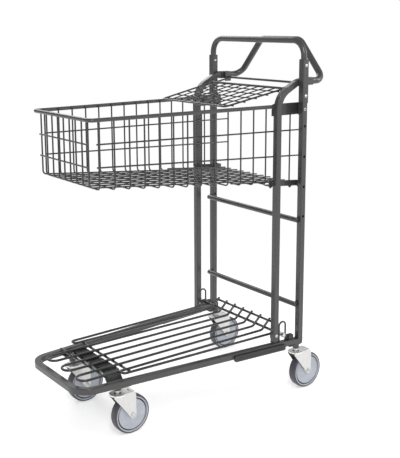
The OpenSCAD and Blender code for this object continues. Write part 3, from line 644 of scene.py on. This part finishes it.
bm = bmesh.new()
for side in (1, -1):
    place = along_rail(side, rail_lo.x)
    flat = rounded_profile([(-rail_half, -rail_half), (rail_half, -rail_half),
                            (rail_half, rail_half), (-rail_half, rail_half)], 3 * MM)

    def end_cap(u, v, w):
        return place(w, rail_mid_z + v, u)
    slab(bm, flat, -2.2 * MM, 0, end_cap)
rail_plugs = add_object("rail_end_plugs", bm, guard_plastic, "trolley", False)
bevelled(rail_plugs, 1.1 * MM)

# Plates under the rails' rear ends, trimmed to the rails with rounded corners
lo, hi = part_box("rear_post_feet")
bm = bmesh.new()
for s in (1, -1):
    back, inner, outer = rail_lo.x + 0.5 * MM, hi.y - 46 * MM, hi.y - 5 * MM
    corners = [(back, inner), (hi.x, inner), (hi.x, outer), (back, outer)]
    slab(bm, rounded_profile(mirrored(corners, s), 5 * MM, 5), lo.z, hi.z, as_given)
feet = add_object("rear_post_plates", bm, frame_coat, "trolley", False)
bevelled(feet, 0.7 * MM)
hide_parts("rear_post_feet")

# Guards on the rails: rounded, with two long grooves and a lip that hooks under the rail
for side, name in ((1, "left"), (-1, "right")):
    node = "side_bumper_" + name
    lo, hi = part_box(node)
    place = along_rail(side, lo.x)
    long = (hi.x - lo.x) / math.cos(math.atan(RAIL_TAPER)) - 3 * MM
    z0, z1 = lo.z, hi.z
    r_in, r_out = rail_half + 0.02 * MM, rail_half + 7.6 * MM
    outline = rounded_profile([(0, z0), (long, z0), (long, z1), (0, z1)], 6 * MM, 5)
    bm = bmesh.new()
    slab(bm, outline, r_in, r_out, place)
    guard = add_object("rail_guard_" + name, bm, guard_plastic, "trolley", False)
    cutters = bmesh.new()
    mid = (z0 + z1) / 2
    groove_end, groove_half = 14 * MM, 0.8 * MM
    for up in (-2.6 * MM, 2.6 * MM):
        low, high = mid + up - groove_half, mid + up + groove_half
        groove = rounded_profile([(groove_end, low), (long - groove_end, low),
                                  (long - groove_end, high), (groove_end, high)], groove_half)
        slab(cutters, groove, r_out - 0.9 * MM, r_out + 4 * MM, place)
    cutter = carve(guard, cutters, guard_plastic, "trolley")
    bevelled(guard, 1.2 * MM)
    bpy.data.objects.remove(cutter)
    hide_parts(node)
    bm = bmesh.new()
    lip = rounded_profile([(6 * MM, -rail_half + 3 * MM), (long - 6 * MM, -rail_half + 3 * MM),
                           (long - 6 * MM, r_in + 1 * MM), (6 * MM, r_in + 1 * MM)], 2 * MM)

    def under(u, v, w):
        return place(u, w, v)
    slab(bm, lip, rail_lo.z - 2.5 * MM, rail_lo.z - 0.02 * MM, under)
    hook = add_object("guard_lip_" + name, bm, guard_plastic, "trolley", False)
    bevelled(hook, 0.6 * MM)

# Buffer blocks on the rails, softened and ribbed on top
lo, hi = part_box("frame_buffer_blocks")
ribs = 5
rib_gap = 0.7 * MM
y0, y1 = hi.y - 16 * MM, hi.y
bm = bmesh.new()
for s in (1, -1):
    for i in range(ribs):
        x0 = lo.x + i * (hi.x - lo.x) / ribs
        x1 = x0 + (hi.x - lo.x) / ribs - (rib_gap if i < ribs - 1 else 0)
        outline = [(x0, y0), (x1, y0), (x1, y1), (x0, y1)]
        slab(bm, mirrored(outline, s), hi.z - 1.4 * MM, hi.z, as_given)
    outline = [(lo.x, y0), (hi.x, y0), (hi.x, y1), (lo.x, y1)]
    slab(bm, mirrored(outline, s), lo.z, hi.z - 1.3 * MM, as_given)
blocks = add_object("buffer_blocks", bm, guard_plastic, "trolley", False)
bevelled(blocks, 0.5 * MM, 2)
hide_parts("frame_buffer_blocks")

# Domed ends of the hinge rod's cap nuts, and a washer behind each
lo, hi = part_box("deck_hinge_nuts")
c = (lo + hi) / 2
bm = bmesh.new()
for s in (1, -1):
    y = hi.y - 0.4 * MM
    dome = [(0, y - 1 * MM), (6.4 * MM, y - 1 * MM), (6.2 * MM, y + 0.8 * MM), (5.0 * MM, y + 2.6 * MM),
            (3.0 * MM, y + 3.8 * MM), (0, y + 4.3 * MM)]
    lathe(bm, [(a, s * h) for a, h in dome], Vector((c.x, 0, c.z)), "y", 36)
    y = hi.y - 9.1 * MM
    washer = [(5.5 * MM, y - 1.3 * MM), (8.2 * MM, y - 1.3 * MM), (8.2 * MM, y), (5.5 * MM, y)]
    lathe(bm, rounded_profile([(a, s * h) for a, h in washer], 0.4 * MM, 2), Vector((c.x, 0, c.z)), "y", 40)
domes = add_object("cap_nut_domes", bm, bolt_steel, "deck")
smooth_by_angle(domes, 40)


# ------------------------------------------------------------------ welds

bm = bmesh.new()
post_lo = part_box("rear_post_left")[0]
for rung in ("rung_lower", "rung_upper"):
    lo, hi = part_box(rung)
    zc = (lo.z + hi.z) / 2
    for s in (1, -1):
        for up in (-5.2 * MM, 5.2 * MM):
            x, z = lo.x + 0.8 * MM, zc + up
            bead(bm, straight((x, s * (post_lo.y + 1 * MM), z), (x, s * (hi.y - 1.5 * MM), z)), 1.9 * MM)
for node in ("rear_post_left", "rear_post_right", "front_post_left", "front_post_right"):
    lo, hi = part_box(node)
    front, back = hi.x, hi.x - POST
    s = side_of(lo.y)
    in_y, out_y = (lo.y, hi.y) if s > 0 else (hi.y, lo.y)
    if node.startswith("front"):
        out_y = in_y + s * POST
    z = lo.z + 0.4 * MM
    for x in (back - 0.4 * MM, front + 0.4 * MM):
        bead(bm, straight((x, in_y + s * 1.5 * MM, z), (x, out_y - s * 1.5 * MM, z)), 1.7 * MM)
    y = in_y - s * 0.3 * MM
    bead(bm, straight((back + 1.5 * MM, y, z), (front - 1.5 * MM, y, z)), 1.6 * MM)
for corner in CORNERS:
    pin = centre_of("kingpin_" + corner)
    under_rail = Vector((pin.x, pin.y, rail_lo.z - 3.3 * MM))
    bead(bm, ring_path(under_rail, Vector((0, 0, 1)), 11.3 * MM, 150), 1.3 * MM)
for side, name in ((1, "left"), (-1, "right")):
    post_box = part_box("front_post_" + name)
    front = post_box[1].x
    back = front - POST
    y = side * (min(abs(post_box[0].y), abs(post_box[1].y)) + 0.3 * MM)
    for kind, above_low, below_top in (("upper", 2 * MM, 4 * MM), ("lower", 9 * MM, 3.5 * MM)):
        lo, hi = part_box("basket_%s_bracket_%s" % (kind, name))
        for x in (back - 0.3 * MM, front + 0.3 * MM):
            bead(bm, straight((x, y, lo.z + above_low), (x, y, hi.z - below_top)), 1.4 * MM)
rim_lo, rim_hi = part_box("basket_rim")
for s in (1, -1):
    c = Vector((rim_lo.x + 0.5 * MM, s * (rim_hi.y - 6 * MM), (rim_lo.z + rim_hi.z) / 2))
    bead(bm, ring_path(c, Vector((1, 0, 0)), 6.3 * MM, 110), 1.2 * MM)
cross_lo, cross_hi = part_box("front_cross_member")
for s in (1, -1):
    y = rail_y((cross_lo.x + cross_hi.x) / 2)
    for off, z in ((-rail_half - 0.2 * MM, rail_lo.z), (rail_half - 3.5 * MM, rail_lo.z - 2 * MM)):
        rear = (cross_lo.x + 3 * MM, s * (y + off), z)
        ahead = (cross_hi.x - 3 * MM, s * (y + off - RAIL_TAPER * 50 * MM), z)
        bead(bm, straight(rear, ahead), 1.5 * MM)
welds = add_object("weld_beads", bm, weld_coat, "trolley")


def nugget(bm, place, size):
    """A small fused lump where two wires cross."""
    made = bmesh.ops.create_icosphere(bm, subdivisions=2, radius=1.0)
    bmesh.ops.scale(bm, vec=size, verts=made["verts"])
    bmesh.ops.translate(bm, vec=place, verts=made["verts"])


WIRE_R = 2.5 * MM
SIDE_WIRES = 15
FRONT_WIRES = 9
SIDE_TAPER = 0.05                                  # of the basket's sides towards the front
WALL_WIRES = ((0.900, 0.0165), (0.815, 0.042))     # height beside the rear post, and rise, of each long wire
FLOOR_RISE = 0.084
side_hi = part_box("basket_side_left")[1]
front_lo, front_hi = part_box("basket_front")
floor_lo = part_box("basket_floor")[0]
first_x, last_x = post_x + 22 * MM, side_hi.x - 4 * MM
first_y, last_y = front_lo.y + 4 * MM, front_hi.y - 4 * MM
wire_x = [first_x + (last_x - first_x) * i / (SIDE_WIRES - 1) for i in range(SIDE_WIRES)]
wire_y = [first_y + (last_y - first_y) * i / (FRONT_WIRES - 1) for i in range(FRONT_WIRES)]
front_x = front_lo.x + WIRE_R
under_rim = rim_lo.z + 6 * MM


def grid_y(x):
    """Centre line of the left side's upright wires at x."""
    return side_hi.y - WIRE_R - SIDE_TAPER * (x - first_x)


def wall_z(wire, x):
    """Height of a long wire of the basket's walls at x."""
    height, rise = wire
    return height + rise * (x - post_x)


bm = bmesh.new()
for x in wire_x:
    for s in (1, -1):
        for wire in WALL_WIRES:
            nugget(bm, (x, s * (grid_y(x) - 2 * MM), wall_z(wire, x)), (2.9 * MM, 1.7 * MM, 2.9 * MM))
        nugget(bm, (x, s * (grid_y(x) + WIRE_R), under_rim), (3.0 * MM, 1.6 * MM, 4.2 * MM))
    low = floor_lo.z + WIRE_R + FLOOR_RISE * (x - first_x)
    for y in wire_y:
        nugget(bm, (x, y, low + 2 * MM), (2.9 * MM, 2.9 * MM, 1.6 * MM))
for y in wire_y:
    for wire in WALL_WIRES:
        nugget(bm, (front_x + 2 * MM, y, wall_z(wire, front_x)), (1.7 * MM, 2.9 * MM, 2.9 * MM))
    nugget(bm, (front_x + WIRE_R, y, under_rim), (1.6 * MM, 3.0 * MM, 4.2 * MM))
spots = add_object("basket_wire_welds", bm, wire_coat, "trolley")

DECK_PITCH = 47 * MM
DECK_WIRE = 8 * MM
# Each front cross wire's distance from the posts, and the first of the long wires, -3 to 3, that crosses it
DECK_CROSSINGS = ((622 * MM, -3), (704 * MM, -2))
on_cross_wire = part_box("deck_grid")[0].z + DECK_WIRE - 0.3 * MM
bm = bmesh.new()
for ahead, first in DECK_CROSSINGS:
    for i in range(first, 4):
        nugget(bm, (post_x + ahead, i * DECK_PITCH, on_cross_wire), (4.6 * MM, 4.6 * MM, 2.2 * MM))
rod = centre_of("deck_hinge_nuts")
for i in range(-3, 4):
    nugget(bm, (rod.x + 3 * MM, i * DECK_PITCH, rod.z + 3.2 * MM), (4.2 * MM, 4.6 * MM, 4.2 * MM))
spots = add_object("deck_wire_welds", bm, wire_coat, "deck")


# ------------------------------------------------------------------ studio

FLOOR_RADIUS = 12.0
FADE = (0.75, 2.2)        # the floor turns from paper to plain white between these distances
bm = bmesh.new()
bmesh.ops.create_circle(bm, cap_ends=True, radius=FLOOR_RADIUS, segments=96)
floor_mesh = bpy.data.meshes.new("floor")
bm.to_mesh(floor_mesh)
bm.free()
floor = bpy.data.objects.new("floor", floor_mesh)
floor.location = (0, 0, cad_lo.z)
bpy.context.scene.collection.objects.link(floor)
floor_mat, tree, bsdf, where = new_material("floor_paper", (0.86, 0.86, 0.86), 0.9)
tint = ramp(tree, noise(tree, where, 300, 3), 0.3, 0.7, 0, 1)
paper = mix_colour(tree, tint, (0.85, 0.85, 0.85), (0.87, 0.87, 0.87))
reach = tree.nodes.new("ShaderNodeVectorMath")
reach.operation = "LENGTH"
tree.links.new(where, reach.inputs[0])
fade = ramp(tree, reach.outputs["Value"], *FADE, 0, 1)
tree.links.new(mix_colour(tree, fade, paper, (0.0, 0.0, 0.0)), bsdf.inputs["Base Color"])
bsdf.inputs["Emission Color"].default_value = (1, 1, 1, 1)
tree.links.new(ramp(tree, reach.outputs["Value"], *FADE, 0.42, 1.0), bsdf.inputs["Emission Strength"])
bsdf.inputs["Specular IOR Level"].default_value = 0.0
floor_mesh.materials.append(floor_mat)
floor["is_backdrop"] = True

# Light from all round: bright on the photographed side, darker behind and overhead, plain white to the camera
LIGHT_FROM = (0.24, 0.97, 0)
BRIGHT, DARK, OVERHEAD = (1.0, 1.0, 1.0), (0.34, 0.34, 0.34), (0.42, 0.42, 0.42)
world = bpy.data.worlds.new("studio")
world.use_nodes = True
sky = world.node_tree
direction = sky.nodes.new("ShaderNodeTexCoord").outputs["Generated"]
facing = sky.nodes.new("ShaderNodeVectorMath")
facing.operation = "DOT_PRODUCT"
facing.inputs[1].default_value = LIGHT_FROM
sky.links.new(direction, facing.inputs[0])
height = sky.nodes.new("ShaderNodeSeparateXYZ")
sky.links.new(direction, height.inputs["Vector"])
around = mix_colour(sky, ramp(sky, facing.outputs["Value"], -0.7, 0.2, 0, 1), DARK, BRIGHT)
dome = mix_colour(sky, ramp(sky, height.outputs["Z"], 0.3, 0.95, 0, 1), around, OVERHEAD)
seen = sky.nodes.new("ShaderNodeLightPath").outputs["Is Camera Ray"]
sky.links.new(mix_colour(sky, seen, dome, BRIGHT), sky.nodes["Background"].inputs["Color"])
sky.nodes["Background"].inputs["Strength"].default_value = 1.0
bpy.context.scene.world = world


def area_light(name, place, target, size, power):
    """A soft box at place, turned to target; size in metres, power in watts."""
    data = bpy.data.lights.new(name, "AREA")
    data.shape = "RECTANGLE"
    data.size = size[0]
    data.size_y = size[1]
    data.energy = power
    lamp = bpy.data.objects.new(name, data)
    lamp.location = place
    lamp.rotation_mode = "QUATERNION"
    lamp.rotation_quaternion = (Vector(target) - Vector(place)).to_track_quat("-Z", "Y")
    bpy.context.scene.collection.objects.link(lamp)


middle = (cad_lo + cad_hi) / 2
area_light("key", (1.4, 2.6, 2.9), middle, (0.5, 1.8), 50)
area_light("fill", (-2.6, 1.6, 2.0), middle, (0.6, 2.2), 22)
area_light("back", (-0.6, -2.8, 2.6), middle, (2.4, 1.4), 30)

# ------------------------------------------------------------------ camera

YAW, PITCH, ROLL = math.radians(233.03), math.radians(10.94), math.radians(-0.18)
FROM_POSTS = (1.9098, 2.2168, 1.2561)
LENS = 66.33
SHIFT_Y = -0.1
camera_data = bpy.data.cameras.new("camera")
camera = bpy.data.objects.new("camera", camera_data)
bpy.context.scene.collection.objects.link(camera)
forward = Vector((math.cos(YAW) * math.cos(PITCH), math.sin(YAW) * math.cos(PITCH), -math.sin(PITCH)))
right = Vector((math.sin(YAW), -math.cos(YAW), 0))
up = right.cross(forward)
right, up = (right * math.cos(ROLL) + up * math.sin(ROLL), up * math.cos(ROLL) - right * math.sin(ROLL))
turn = Matrix((right, up, -forward)).transposed()
camera.rotation_mode = "QUATERNION"
camera.rotation_quaternion = turn.to_quaternion()
camera.location = (post_x + FROM_POSTS[0], FROM_POSTS[1], FROM_POSTS[2])
camera_data.sensor_width = 36
camera_data.lens = LENS
camera_data.shift_y = SHIFT_Y
camera_data.clip_start = 0.05
camera_data.clip_end = 60
bpy.context.scene.camera = camera
bpy.context.scene.view_settings.view_transform = "Standard"

lo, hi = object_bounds()
